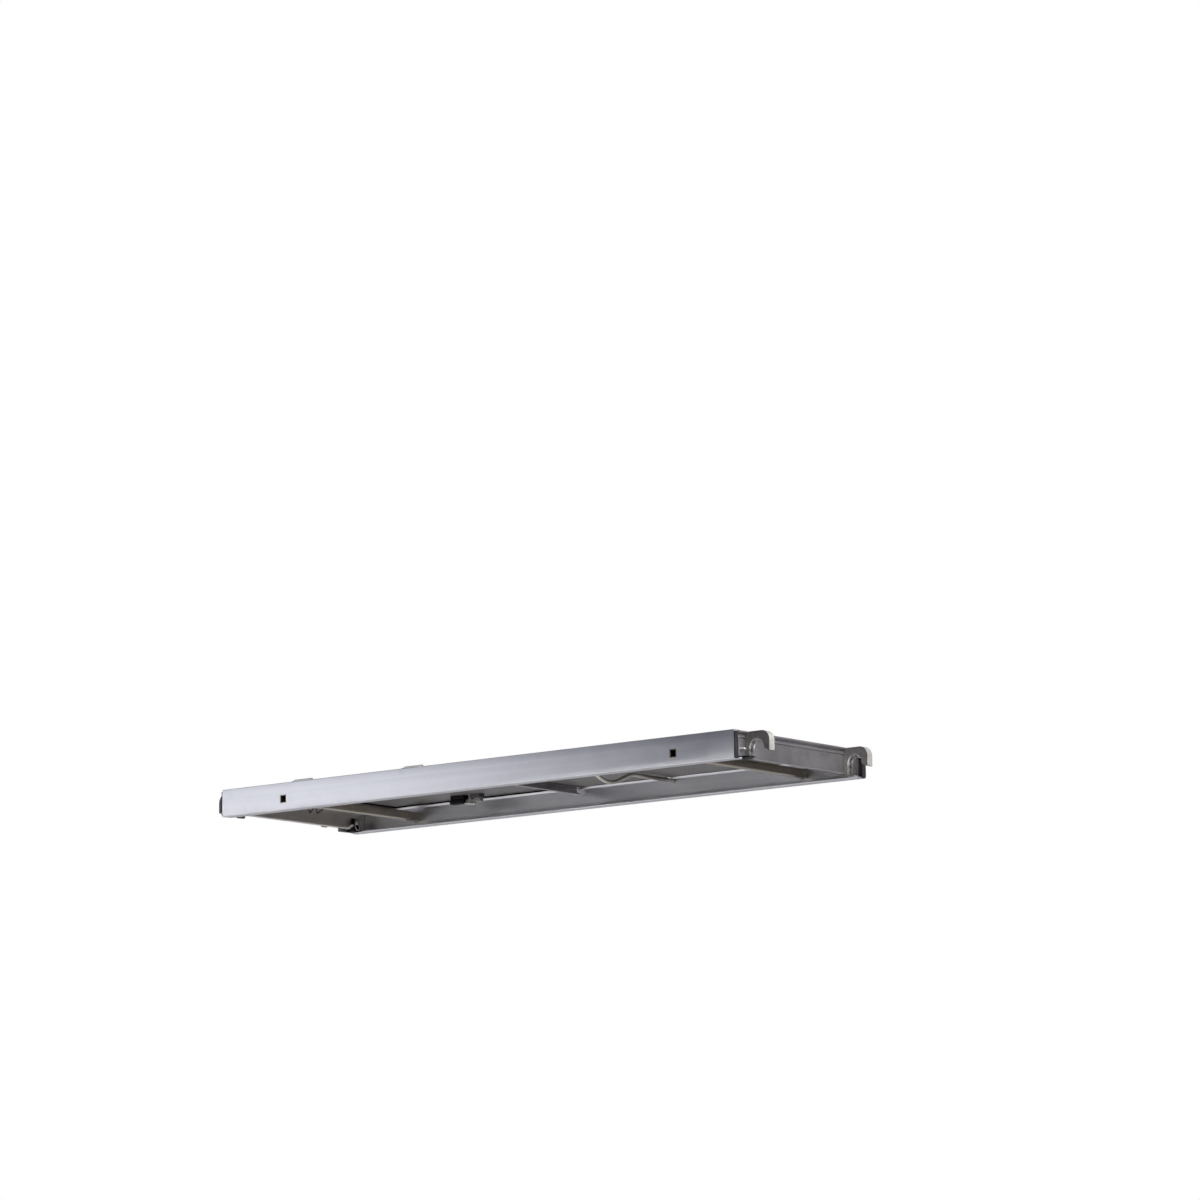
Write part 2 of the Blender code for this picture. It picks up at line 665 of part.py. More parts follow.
def hinges(hinge):
    """Two butt hinges: the fixed leaf on the front rail's lip, the moving leaf on the hatch."""
    third = HINGE_LENGTH / 3
    radius = 0.0017
    head = 0.0026
    half = (HINGE_LENGTH + 0.003) / 2
    neck = half - 0.001
    pin = turned_mesh("hinge_pin", [(0, half), (head, half), (head, neck), (radius, neck), (radius, -half), (0, -half)])
    fixed_low = RAIL_TOP + GAP - HINGE_Z
    moving_low = HATCH_TOP + GAP - HINGE_Z
    middle = (HATCH_LEFT + HATCH_RIGHT) / 2
    keep = HINGE_RADIUS + 0.0004
    for number, x in enumerate((middle - HINGE_OFFSET, middle + HINGE_OFFSET), 1):
        place = (x, HINGE_Y, HINGE_Z)
        fixed = outline_mesh("leaf", leaf_outline(FIXED_LEAF, 1, fixed_low), HINGE_LENGTH)
        leaf = add("hinge_leaf_fixed_%d" % number, fixed, STEEL, place, ALONG_X)
        shape = bmesh.new()
        box_into(shape, (x - third / 2 - 0.0005, HINGE_Y - keep, HINGE_Z - 0.01),
                 (x + third / 2 + 0.0005, HINGE_Y + 0.01, HINGE_Z + 0.01))
        cut(leaf, cutter("knuckle_gap_%d" % number, mesh_from("knuckle_gap", shape)))
        moving = outline_mesh("leaf", leaf_outline(MOVING_LEAF, -1, moving_low), HINGE_LENGTH)
        leaf = add("hinge_leaf_moving_%d" % number, moving, STEEL, place, ALONG_X, parent=hinge)
        shape = bmesh.new()
        for side in (-1, 1):
            xs = sorted((x + side * third / 2, x + side * HINGE_LENGTH))
            box_into(shape, (xs[0], HINGE_Y - 0.01, HINGE_Z - 0.01), (xs[1], HINGE_Y + keep, HINGE_Z + 0.01))
        cut(leaf, cutter("knuckle_ends_%d" % number, mesh_from("knuckle_ends", shape)))
        screw(add("hinge_pin_%d" % number, pin, STEEL, place, (0, pi / 2, 0)), 12)


# Turn latch under the hatch

def latch(hinge):
    """A lever on a spindle. Parallel to the hatch edge it is open; a quarter turn locks it."""
    turn = pivot("latch_axis", (LATCH_X, LATCH_Y, HATCH_BOTTOM), hinge)
    base_top = HATCH_BOTTOM - GAP
    near = 0.0085
    far = 0.0500
    half_width = LATCH_HALF_WIDTH + 0.001
    outline = rounded([(near, -half_width, 0.002), (far, -half_width, 0.006),
                       (far, half_width, 0.006), (near, half_width, 0.002)])
    mesh = outline_mesh("latch_base", [outline], base_top - LATCH_BASE_LOW)
    add("latch_base", mesh, ZINC, (LATCH_X, LATCH_Y, (base_top + LATCH_BASE_LOW) / 2), parent=hinge)
    box("latch_stop", (LATCH_X - GRIP_END + 0.004, LATCH_Y - half_width, LATCH_BASE_LOW),
        (LATCH_X - GRIP_ROOT, LATCH_Y + half_width, base_top), PLASTIC, parent=hinge, bevel=0.0012)
    latch_lever(turn)
    latch_spindle(turn)


def latch_lever(turn):
    """The metal arm about the spindle, with a plastic grip pressed on its stub."""
    top = -0.0040
    low = -0.0130
    hub = 0.0090
    stub = 0.0050
    stub_end = 0.045
    half_width = 0.0080
    reach = 0.0480
    stub_angle = asin(stub / hub) * 180 / pi
    side_angle = asin(half_width / hub) * 180 / pi
    outline = arc(0, 0, hub, 180 + stub_angle, 360 - side_angle, 8)
    outline += rounded([(hub, -half_width), (reach, -half_width, 0.003), (reach, half_width, 0.003), (hub, half_width)])
    outline += arc(0, 0, hub, side_angle, 180 - stub_angle, 8)
    outline += [(-stub_end, stub), (-stub_end, -stub)]
    bore = arc(0, 0, SPINDLE_RADIUS + GAP, 0, 345, 23)
    arm_hole = arc(0.0185, 0, 0.0035, 0, 330, 11)
    mesh = outline_mesh("latch_arm", [outline, bore, arm_hole], top - low)
    add("latch_arm", mesh, ZINC, (LATCH_X, LATCH_Y, (top + low) / 2), parent=turn)

    grip = box("latch_grip", (LATCH_X - GRIP_END, LATCH_Y - LATCH_HALF_WIDTH, GRIP_LOW),
               (LATCH_X - GRIP_ROOT, LATCH_Y + LATCH_HALF_WIDTH, GRIP_TOP), PLASTIC, parent=turn, bevel=0.002)
    shape = bmesh.new()
    box_into(shape, (LATCH_X - stub_end - GAP, LATCH_Y - stub - GAP, low - GAP),
             (LATCH_X, LATCH_Y + stub + GAP, top + GAP))
    cut(grip, cutter("grip_socket", mesh_from("grip_socket", shape)))


def latch_spindle(turn):
    """A shaft through the hatch board, with a flat knob on top and a round foot below."""
    shaft = SPINDLE_RADIUS
    foot = 0.0180
    foot_low = GRIP_LOW - 0.0035
    knob = 0.0150
    knob_low = HATCH_TOP + GAP
    knob_top = knob_low + 0.0040
    profile = [(0, knob_top), (knob - 0.0015, knob_top), (knob, knob_top - 0.0015), (knob, knob_low),
               (shaft, knob_low), (shaft, GRIP_LOW), (foot, GRIP_LOW), (foot, foot_low + 0.001),
               (foot - 0.0012, foot_low), (0, foot_low)]
    mesh = turned_mesh("latch_spindle", profile)
    screw(add("latch_spindle", mesh, ZINC, (LATCH_X, LATCH_Y, 0), parent=turn), 28)


# Anti-lift catches

def beside_hook(end, offset):
    """A catch stands on the outer side of the front hook at the right end, of the rear hook at the left."""
    return HOOK_YS["front"] - offset if end == "right" else HOOK_YS["rear"] + offset


def catch_outline(outward):
    """Section of the sliding catch: a jaw under the rung, an arm under the beam, an upstand behind it."""
    top = BEAM_BOTTOM - 0.0006
    nose = CATCH_NOSE - BEAM_FACE
    front = BEAM_DEPTH + 0.0006
    back = front + CATCH_UPSTAND
    corners = [(nose, top - CATCH_TIP, 0.001), (nose, top, 0.001), (front, top), (front, CATCH_TOP, 0.001),
               (back, CATCH_TOP, 0.002), (back, CATCH_BOTTOM, 0.004), (nose + CATCH_TAPER, CATCH_BOTTOM, 0.004)]
    return [(-outward * x, y) for x, y in rounded(corners)]


def pull_ring(name):
    """A closed wire ring that hangs on the neck of a catch pin."""
    curve = bpy.data.curves.new(name, "CURVE")
    curve.dimensions = "3D"
    curve.bevel_depth = RING_WIRE
    curve.bevel_resolution = 2
    count = 32
    top = CATCH_NECK + RING_WIRE + 0.0008
    spline = curve.splines.new("POLY")
    spline.points.add(count - 1)
    for i, point in enumerate(spline.points):
        angle = 2 * pi * i / count
        point.co = (0, RING_RADIUS * sin(angle), top - RING_RADIUS + RING_RADIUS * cos(angle), 1)
    spline.use_cyclic_u = True
    holder = bpy.data.objects.new(name + "_curve", curve)
    bpy.context.scene.collection.objects.link(holder)
    mesh = mesh_of(name, holder)
    smooth(mesh)
    return mesh


def catches():
    """A sliding jaw closes under the rung, guided by a pin through the beam, and has a pull ring."""
    radius = BOLT_DIAMETER / 2
    middle = HOOK_WIDTH / 2 + 0.0005 + CATCH_WIDTH / 2
    back = BEAM_DEPTH + 0.0006 + CATCH_UPSTAND
    knob_face = -back - GAP
    knob_back = knob_face - 0.0060
    tail = knob_back - 0.0030
    profile = [(0, CATCH_PIN_REACH), (radius - 0.001, CATCH_PIN_REACH), (radius, CATCH_PIN_REACH - 0.001),
               (radius, knob_face), (KNOB_RADIUS, knob_face), (KNOB_RADIUS, knob_back + 0.0015),
               (KNOB_RADIUS - 0.0015, knob_back), (CATCH_NECK, knob_back), (CATCH_NECK, tail),
               (CATCH_NECK + 0.0018, tail - 0.0008), (CATCH_NECK + 0.0018, tail - 0.0020), (0, tail - 0.0020)]
    for end, (rung_x, outward) in ENDS.items():
        face = rung_x - outward * BEAM_FACE
        pin_place = (face, beside_hook(end, CATCH_PIN_OFFSET), CATCH_PIN_Z)
        slide = pivot("catch_travel_" + end, pin_place)
        mesh = outline_mesh("catch_jaw_" + end, [catch_outline(outward)], CATCH_WIDTH)
        place = (face, beside_hook(end, middle), 0)
        jaw = add("catch_jaw_" + end, mesh, PLASTIC, place, ALONG_Y, parent=slide)
        shape = bmesh.new()
        hole_middle = (face - outward * (back + 0.002), pin_place[1], CATCH_PIN_Z)
        rod_into(shape, radius + GAP, LYING, hole_middle, 0.03)
        name = "catch_hole_" + end
        cut(jaw, cutter(name, mesh_from(name, shape)))
        pin = turned_mesh("catch_pin_" + end, profile)
        turn = (0, outward * pi / 2, 0)
        screw(add("catch_pin_" + end, pin, STEEL, pin_place, turn, parent=slide))
        ring_place = (face + outward * (knob_back + tail) / 2, pin_place[1], CATCH_PIN_Z)
        add("catch_ring_" + end, pull_ring("catch_ring_" + end), STEEL, ring_place, parent=slide)


PLANK, CUTTERS = start()
ALUMINIUM = material("aluminium", (0.62, 0.63, 0.66), 0.38, 1)
CASTING = material("cast_aluminium", (0.42, 0.42, 0.41), 0.55, 0.8)
STEEL = material("zinc_steel", (0.66, 0.66, 0.64), 0.35, 1)
ZINC = material("latch_metal", (0.30, 0.31, 0.31), 0.50, 0.8)
PLASTIC = material("black_plastic", (0.02, 0.02, 0.022), 0.55, 0)
RUBBER = material("black_rubber", (0.012, 0.012, 0.012), 0.80, 0)
PLYWOOD = material("film_faced_plywood", (0.14, 0.115, 0.10), 0.65, 0)


def build():
    notches = {}
    for end, (rung_x, outward) in ENDS.items():
        notches[end] = notch_tools(end, rung_x, outward)
    side_rails()
    rail_caps()
    cross_tubes()
    bent_rod()
    end_beams(notches)
    hooks()
    hook_bolts()
    deck_boards(notches)
    hatch_sills()
    hatch_seal()
    hinge = pivot("hatch_axis", ((HATCH_LEFT + HATCH_RIGHT) / 2, HINGE_Y, HINGE_Z))
    hatch_board(hinge)
    hinges(hinge)
    latch(hinge)
    catches()


build()
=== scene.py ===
"""Looks of the trapdoor scaffold plank: finishes, welds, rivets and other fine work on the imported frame.

Lengths are in metres. The plank's right end is near x = 0 and its left end towards -X, its front rail
faces -Y, and z = 0 is the top line of the rungs that its hooks hang on.
"""
import json
from math import ceil, cos, pi, radians, sin

import bmesh
import bpy
from mathutils import Matrix, Vector


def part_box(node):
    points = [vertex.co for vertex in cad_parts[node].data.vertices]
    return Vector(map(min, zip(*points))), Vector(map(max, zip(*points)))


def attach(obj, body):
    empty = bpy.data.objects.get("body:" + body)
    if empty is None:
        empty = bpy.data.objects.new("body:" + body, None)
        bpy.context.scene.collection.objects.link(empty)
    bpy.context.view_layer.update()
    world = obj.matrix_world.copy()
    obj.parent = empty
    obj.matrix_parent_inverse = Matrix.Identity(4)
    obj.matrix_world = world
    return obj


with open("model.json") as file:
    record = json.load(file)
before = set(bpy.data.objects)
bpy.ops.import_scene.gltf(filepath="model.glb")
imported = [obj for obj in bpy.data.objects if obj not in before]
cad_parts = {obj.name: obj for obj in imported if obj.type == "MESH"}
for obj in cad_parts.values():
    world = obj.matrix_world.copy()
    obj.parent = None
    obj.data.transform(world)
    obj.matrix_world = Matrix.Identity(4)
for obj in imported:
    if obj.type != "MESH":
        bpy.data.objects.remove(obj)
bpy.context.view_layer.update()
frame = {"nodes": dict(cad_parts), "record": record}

NODES = frame["nodes"]
SLOTS = {entry["node"]: entry["material_slot"] for entry in frame["record"]["subparts"]}

# The camera stands low and to the right of the plank, a long way off, and looks slightly up at it.
CAMERA_AIM = (-0.7642, 0.2320, 0.5093)
CAMERA_AZIMUTH = 39.148
CAMERA_ELEVATION = -9.307
CAMERA_ROLL = -0.511
CAMERA_DISTANCE = 16.257
CAMERA_LENS = 164.76
CAMERA_SENSOR = 36
CAMERA_RANGE = 1000

# The room gets paler along SKY_TOWARD: dark where the camera stands, white behind the plank.
SKY_TOWARD = (-0.45, 0.70, 0.55)
SKY = ((0.0, (0.028, 0.032, 0.052)), (0.42, (0.13, 0.126, 0.14)), (0.80, (1.0, 1.0, 1.0)))
FLOOR_Z = -3.0
FLOOR_SIZE = 400.0

# Places and sizes of the CAD
CENTRE = (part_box("side_rail_front")[0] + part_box("side_rail_rear")[1]) / 2
RUNG_SPAN = -(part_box("hook_left_front")[0].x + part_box("hook_right_front")[1].x)
RUNG_RADIUS = 0.025
RAIL_WALL = 0.003
LEAF_THICK = 0.0015
BEAM_LIP = 0.0105           # an end beam's top lip stands out past its outer face by this
BEAM_DEPTH = 0.0185         # from an end beam's outer face to its inner face

# The pattern of the boards
MESH_PITCH = 0.0052
PLY_THICK = 0.0027

# Modifiers
SHARP_ANGLE = radians(38)
BEVEL_ANGLE = radians(40)
MERGE_DISTANCE = 0.00001
BEVELS = {"hook_left": 0.0010, "hook_right": 0.0010, "deck_board": 0.0006, "hatch_board": 0.0008,
          "catch_jaw": 0.0010, "rail_cap": 0.0006, "latch_arm": 0.0008, "latch_base": 0.0007}

# Weld beads
TUBE_BEAD = 0.0021          # radius of each kind of bead
ROD_BEAD = 0.0019
BEAM_BEAD = 0.0022
BEAD_MARGIN = 0.002         # an upright bead stops this far above the beam's foot and below z = 0
BEAD_SIDES = 8
ROD_CORNERS = 20
RIPPLE = 0.0030             # length of a ripple
RIPPLE_STEPS = 5

# Rivets and screws
RIVET_SIDES = 16
RIVET_RADIUS = 0.0034
FIXED_LEAF_RIVET = 0.0030
LATCH_SCREW = 0.0027
LEAF_PARTS = (0.14, 0.5, 0.86)      # where the rivets are along a hinge's leaf
SCREW_PARTS = (0.30, 0.78)          # where the screws are along the latch's block
FIXED_LEAF_ROW = 0.0062             # from the leaf's outer edge to its rivets
MOVING_LEAF_ROW = 0.0100
BEAM_ROW = 0.0220                   # from the inner edge of an end beam's lip to its rivets
SILL_ROW = 0.0172
BOARD_RIVETS = 4                    # in each row over a board
ROW_INSET = 0.030                   # from a side rail to the first rivet
BEAM_ROW_INSET = 0.020              # and this much further in over an end beam

# Felt-pen ticks: the foot from the beam's middle, then the short and the long end from the foot, as (y, z)
TICKS = (((0.053, -0.004), (-0.009, 0.014), (0.0215, 0.021)),
         ((0.087, -0.002), (-0.006, 0.013), (0.040, 0.024)))
INK_WIDTH = 0.0034
INK_DEPTH = 0.0002


# Node graphs

class Graph:
    """One material and short calls for the nodes it is made of."""

    def __init__(self, name):
        self.material = bpy.data.materials.new(name)
        self.material.use_nodes = True
        self.tree = self.material.node_tree
        self.shader = self.tree.nodes["Principled BSDF"]
        self.place = self.add("ShaderNodeTexCoord").outputs

    def add(self, kind, inputs=None, **settings):
        node = self.tree.nodes.new(kind)
        for key, value in settings.items():
            setattr(node, key, value)
        for key, value in (inputs or {}).items():
            self.feed(node.inputs[key], value)
        return node

    def feed(self, socket, value):
        """Give a socket a link or a constant."""
        if isinstance(value, bpy.types.NodeSocket):
            self.tree.links.new(value, socket)
        elif socket.type == "RGBA":
            socket.default_value = (*value, 1)
        else:
            socket.default_value = value

    def surface(self, **inputs):
        """Feed the shader: names are its sockets with _ for a space."""
        for key, value in inputs.items():
            self.feed(self.shader.inputs[key.replace("_", " ")], value)

    def mapped(self, scale, turn=(0, 0, 0), shift=(0, 0, 0)):
        inputs = {"Vector": self.place["Object"], "Scale": scale, "Rotation": turn, "Location": shift}
        return self.add("ShaderNodeMapping", inputs).outputs[0]

    def noise(self, scale, detail=3, roughness=0.55, turn=(0, 0, 0), shift=(0, 0, 0)):
        """Noise in patches for each metre: one number, or one each along X, Y and Z."""
        size = scale if isinstance(scale, tuple) else (scale,) * 3
        inputs = {"Vector": self.mapped(size, turn, shift), "Scale": 1.0,
                  "Detail": detail, "Roughness": roughness}
        return self.add("ShaderNodeTexNoise", inputs).outputs[0]

    def cells(self, scale):
        """Distance from the middle of the nearest cell, in cells for each metre."""
        inputs = {"Vector": self.mapped((scale,) * 3), "Scale": 1.0}
        return self.add("ShaderNodeTexVoronoi", inputs).outputs["Distance"]

    def fit(self, value, low, high, to_low=0.0, to_high=1.0):
        """Carry one range over to another and clamp the value there."""
        names = ("Value", "From Min", "From Max", "To Min", "To Max")
        inputs = dict(zip(names, (value, low, high, to_low, to_high)))
        return self.add("ShaderNodeMapRange", inputs, clamp=True).outputs[0]

    def calc(self, operation, *values):
        node = self.add("ShaderNodeMath", operation=operation)
        for socket, value in zip(node.inputs, values):
            self.feed(socket, value)
        return node.outputs[0]

    def plus(self, first, second):
        return self.calc("ADD", first, second)

    def minus(self, first, second):
        return self.calc("SUBTRACT", first, second)

    def times(self, first, second):
        return self.calc("MULTIPLY", first, second)

    def blend(self, factor, first, second):
        """Mix two colours: inputs 6 and 7 and output 2 are the Mix node's colour sockets."""
        return self.add("ShaderNodeMix", {0: factor, 6: first, 7: second}, data_type="RGBA").outputs[2]

    def overlay(self, base, mask, weight, colour):
        """Lay a colour over another where a mask is set, at most by a weight."""
        return self.blend(self.times(mask, weight), base, colour)

    def split(self, vector):
        return self.add("ShaderNodeSeparateXYZ", {0: vector}).outputs[:3]

    def bump(self, height, depth, before=None):
        """Bump of a real depth in metres, laid over an earlier one."""
        inputs = {"Height": height, "Distance": depth, "Strength": 1.0}
        if before:
            inputs["Normal"] = before
        return self.add("ShaderNodeBump", inputs).outputs[0]


# Finishes

def extrusion(name, along, dark, light, roughness):
    """Mill-finish aluminium with die lines along the extrusion, cloudy oxide, stains and scratches."""
    graph = Graph(name)

    def stretched(length, width):
        return (length, width, width) if along == "X" else (width, length, width)

    lines = graph.noise(stretched(1.5, 900.0), 2, 0.6)
    bands = graph.noise(stretched(0.5, 75.0), 3, 0.5)
    cloud = graph.noise(6.0, 6, 0.62)
    stains = graph.fit(graph.noise(17.0, 5, 0.7, shift=(3.1, 0.4, 1.7)), 0.56, 0.74)
    rubs = graph.noise(stretched(22.0, 1500.0), 1, 0.5, turn=(0.05, 0.22, 0.31))
    other_rubs = graph.noise(stretched(14.0, 1100.0), 1, 0.5, turn=(0.0, -0.35, -0.52),
                             shift=(1.3, 0.2, 0.9))
    scratches = graph.calc("MAXIMUM", graph.fit(rubs, 0.70, 0.74), graph.fit(other_rubs, 0.72, 0.75))

    tone = graph.plus(graph.times(bands, 0.45), graph.times(cloud, 0.55))
    colour = graph.blend(graph.fit(tone, 0.36, 0.64), dark, light)
    colour = graph.overlay(colour, stains, 0.14, tuple(c * 0.62 for c in dark))
    colour = graph.overlay(colour, scratches, 0.22, (0.83, 0.84, 0.85))
    rough = graph.fit(cloud, 0.3, 0.7, roughness - 0.02, roughness + 0.04)
    rough = graph.plus(rough, graph.times(lines, 0.05))
    rough = graph.plus(rough, graph.times(stains, 0.03))
    bump = graph.bump(lines, 0.00003)
    bump = graph.bump(bands, 0.00010, bump)
    bump = graph.bump(scratches, -0.000004, bump)
    graph.surface(Base_Color=colour, Roughness=rough, Normal=bump, Metallic=1.0)
    return graph.material


def beside_rung(graph, low, high):
    """1 where the surface is nearer than low to the axis of either rung, fading to 0 at high."""
    x, _, z = graph.split(graph.place["Object"])
    half = RUNG_SPAN / 2
    from_rung = graph.minus(graph.calc("ABSOLUTE", graph.plus(x, half)), half)
    height = graph.minus(z, -RUNG_RADIUS)
    squares = graph.plus(graph.calc("POWER", from_rung, 2.0), graph.calc("POWER", height, 2.0))
    return graph.fit(graph.calc("SQRT", squares), low, high, 1.0, 0.0)


def casting(name):
    """Sand-cast aluminium, dark and grainy, worn bright where it sits on the rung."""
    graph = Graph(name)
    grain = graph.noise(1400.0, 3, 0.7)
    lumps = graph.noise(190.0, 3, 0.6)
    cloud = graph.noise(34.0, 5, 0.65)
    pits = graph.fit(graph.cells(520.0), 0.0, 0.32, 1.0, 0.0)
    patches = graph.fit(graph.noise(85.0, 4, 0.6), 0.36, 0.60)
    worn = graph.times(beside_rung(graph, 0.0256, 0.0262), patches)

    colour = graph.blend(graph.fit(cloud, 0.33, 0.67), (0.105, 0.101, 0.095), (0.170, 0.164, 0.155))
    colour = graph.overlay(colour, pits, 0.45, (0.05, 0.047, 0.043))
    colour = graph.overlay(colour, worn, 0.75, (0.66, 0.65, 0.63))
    rough = graph.minus(graph.fit(grain, 0.3, 0.7, 0.50, 0.68), graph.times(worn, 0.22))
    bump = graph.bump(grain, 0.00010)
    bump = graph.bump(lumps, 0.00022, bump)
    bump = graph.bump(pits, -0.00008, bump)
    graph.surface(Base_Color=colour, Roughness=rough, Normal=bump, Metallic=0.30)
    return graph.material


def plated(name, dark, light, roughness, spots):
    """Plated steel: fine grain, drifting tone and small dull spots."""
    graph = Graph(name)
    grain = graph.noise(2600.0, 2, 0.6)
    drift = graph.noise(60.0, 4, 0.6)
    dull = graph.fit(graph.noise(330.0, 4, 0.7), 0.60, 0.72)
    colour = graph.blend(graph.fit(drift, 0.35, 0.65), dark, light)
    colour = graph.overlay(colour, dull, spots, (0.20, 0.16, 0.12))
    rough = graph.fit(drift, 0.3, 0.7, roughness, roughness + 0.12)
    rough = graph.plus(rough, graph.times(dull, 0.25))
    graph.surface(Base_Color=colour, Roughness=rough, Normal=graph.bump(grain, 0.00003), Metallic=1.0)
    return graph.material


def moulded(name, dark, light, roughness, depth, sheen):
    """Moulded plastic or rubber: a spark-eroded grain, faint dust and scuffs."""
    graph = Graph(name)
    grain = graph.noise(1900.0, 2, 0.65)
    dust = graph.fit(graph.noise(95.0, 5, 0.7), 0.50, 0.80)
    scuffs = graph.fit(graph.noise((70.0, 900.0, 260.0), 2, 0.6, turn=(0.3, 0.2, 0.5)), 0.66, 0.74)
    colour = graph.blend(dust, dark, light)
    colour = graph.overlay(colour, scuffs, 0.35, (0.06, 0.06, 0.06))
    rough = graph.fit(graph.plus(grain, dust), 0.4, 1.5, roughness - 0.06, roughness + 0.14)
    graph.surface(Base_Color=colour, Roughness=rough, Normal=graph.bump(grain, depth), Metallic=0.0,
                  Specular_IOR_Level=sheen)
    return graph.material


def pressed_mesh(graph, x, y):
    """Ridges along both diagonals, 1 on a ridge and 0 between them."""
    diagonal = 2 * pi / MESH_PITCH * 0.7071
    ridges = []
    for across in (graph.plus(x, y), graph.minus(x, y)):
        wave = graph.calc("SINE", graph.times(across, diagonal))
        ridges.append(graph.calc("POWER", graph.calc("ABSOLUTE", wave), 5.0))
    return graph.calc("MAXIMUM", *ridges)


def ply_edge(graph, z):
    """Colour of the plies at a board's cut edges."""
    plies = graph.calc("SINE", graph.times(z, 2 * pi / PLY_THICK))
    grain = graph.noise((260.0, 260.0, 1500.0), 3, 0.6)
    cut = graph.blend(graph.fit(plies, -0.4, 0.4), (0.150, 0.082, 0.042), (0.300, 0.190, 0.105))
    return graph.blend(graph.fit(grain, 0.45, 0.75, 0.0, 0.6), cut, (0.085, 0.048, 0.028))


def film_plywood(name):
    """Film-faced plywood: dark film over fibres, a mesh pressed into the top, plies at the edges."""
    graph = Graph(name)
    _, _, up = graph.split(graph.place["Normal"])
    x, y, z = graph.split(graph.place["Object"])
    top = graph.fit(up, 0.45, 0.55)
    edge = graph.fit(graph.calc("ABSOLUTE", up), 0.55, 0.45)
    fibres = graph.noise((9.0, 420.0, 420.0), 4, 0.62)
    mottle = graph.noise(14.0, 6, 0.66)
    cloud = graph.noise(3.2, 4, 0.55, shift=(0.7, 2.2, 0.3))
    marks = graph.fit(graph.noise((150.0, 8.0, 80.0), 3, 0.6, turn=(0, 0, 0.9)), 0.68, 0.76)
    mesh = graph.times(pressed_mesh(graph, x, y), top)
    trodden = graph.fit(graph.noise(5.0, 5, 0.65, shift=(5.5, 1.2, 0.0)), 0.42, 0.68)
    dusty = graph.times(graph.times(trodden, top), graph.minus(1.0, mesh))

    tone = graph.plus(graph.times(mottle, 0.6), graph.times(cloud, 0.4))
    film = graph.blend(graph.fit(tone, 0.34, 0.66), (0.080, 0.073, 0.070), (0.150, 0.138, 0.132))
    film = graph.blend(graph.fit(fibres, 0.50, 0.78, 0.0, 0.5), film, (0.175, 0.155, 0.140))
    film = graph.overlay(film, marks, 0.35, (0.24, 0.22, 0.20))
    film = graph.overlay(film, mesh, 0.35, (0.045, 0.038, 0.033))
    film = graph.overlay(film, dusty, 0.42, (0.27, 0.25, 0.22))
    colour = graph.blend(edge, film, ply_edge(graph, z))

    rough = graph.fit(mottle, 0.3, 0.7, 0.36, 0.52)
    rough = graph.plus(rough, graph.times(edge, 0.25))
    rough = graph.plus(rough, graph.times(dusty, 0.22))
    bump = graph.bump(fibres, 0.00004)
    bump = graph.bump(mottle, 0.00012, bump)
    bump = graph.bump(mesh, -0.00045, bump)
    graph.surface(Base_Color=colour, Roughness=rough, Normal=bump, Metallic=0.0)
    return graph.material


def weld_metal(name):
    """Bright weld metal with a little soot."""
    graph = Graph(name)
    fine = graph.noise(1700.0, 3, 0.65)
    soot = graph.fit(graph.noise(230.0, 4, 0.65), 0.46, 0.68)
    colour = graph.blend(soot, (0.62, 0.62, 0.61), (0.24, 0.23, 0.21))
    rough = graph.fit(soot, 0.0, 1.0, 0.33, 0.56)
    graph.surface(Base_Color=colour, Roughness=rough, Normal=graph.bump(fine, 0.00006), Metallic=0.95)
    return graph.material


def floor_paint(name):
    """Pale matt paint, slightly cloudy."""
    graph = Graph(name)
    cloud = graph.noise(0.6, 4, 0.6)
    colour = graph.blend(graph.fit(cloud, 0.3, 0.7), (0.82, 0.824, 0.83), (0.86, 0.863, 0.865))
    graph.surface(Base_Color=colour, Roughness=0.85, Metallic=0.0)
    return graph.material


RAIL = extrusion("rail_aluminium", "X", (0.64, 0.637, 0.68), (0.75, 0.745, 0.78), 0.30)
# A darker, violet-grey copy of the rail aluminium for the parts of the plain aluminium slot, the right end
# beam among them: painted shade, standing in for the shade of the toe board and rungs over that beam
SHADE_DARKENED_ALUMINIUM = extrusion("aluminium_darkened_painted_shade", "Y", (0.35, 0.33, 0.345), (0.455, 0.435, 0.45), 0.27)
BEIGE = extrusion("beige_aluminium", "Y", (0.67, 0.635, 0.59), (0.80, 0.765, 0.72), 0.36)
# A darker, brown copy of the aluminium for the cross tubes: painted shade and painted reflection of the
# dark brown deck underside above them
TUBE_PAINTED_SHADE = extrusion("tube_aluminium_painted_shade", "Y", (0.36, 0.315, 0.26), (0.54, 0.485, 0.41), 0.34)
BAR = extrusion("bar_aluminium", "Y", (0.50, 0.465, 0.41), (0.68, 0.65, 0.59), 0.20)
CAST = casting("cast_aluminium")
PLY = film_plywood("film_faced_plywood")
ZINC = plated("zinc_steel", (0.52, 0.515, 0.48), (0.68, 0.675, 0.65), 0.26, 0.25)
DULL = plated("latch_metal", (0.30, 0.30, 0.295), (0.46, 0.455, 0.44), 0.34, 0.45)
GRAPHITE = plated("dark_latch_metal", (0.085, 0.085, 0.09), (0.17, 0.17, 0.175), 0.40, 0.30)
BLACK = moulded("black_plastic", (0.006, 0.006, 0.007), (0.018, 0.018, 0.019), 0.52, 0.00006, 0.14)
RUBBER = moulded("black_rubber", (0.004, 0.004, 0.004), (0.012, 0.012, 0.011), 0.80, 0.00010, 0.12)
WELD = weld_metal("weld_metal")
INK = moulded("felt_pen", (0.008, 0.007, 0.008), (0.022, 0.020, 0.020), 0.60, 0.00001, 0.20)

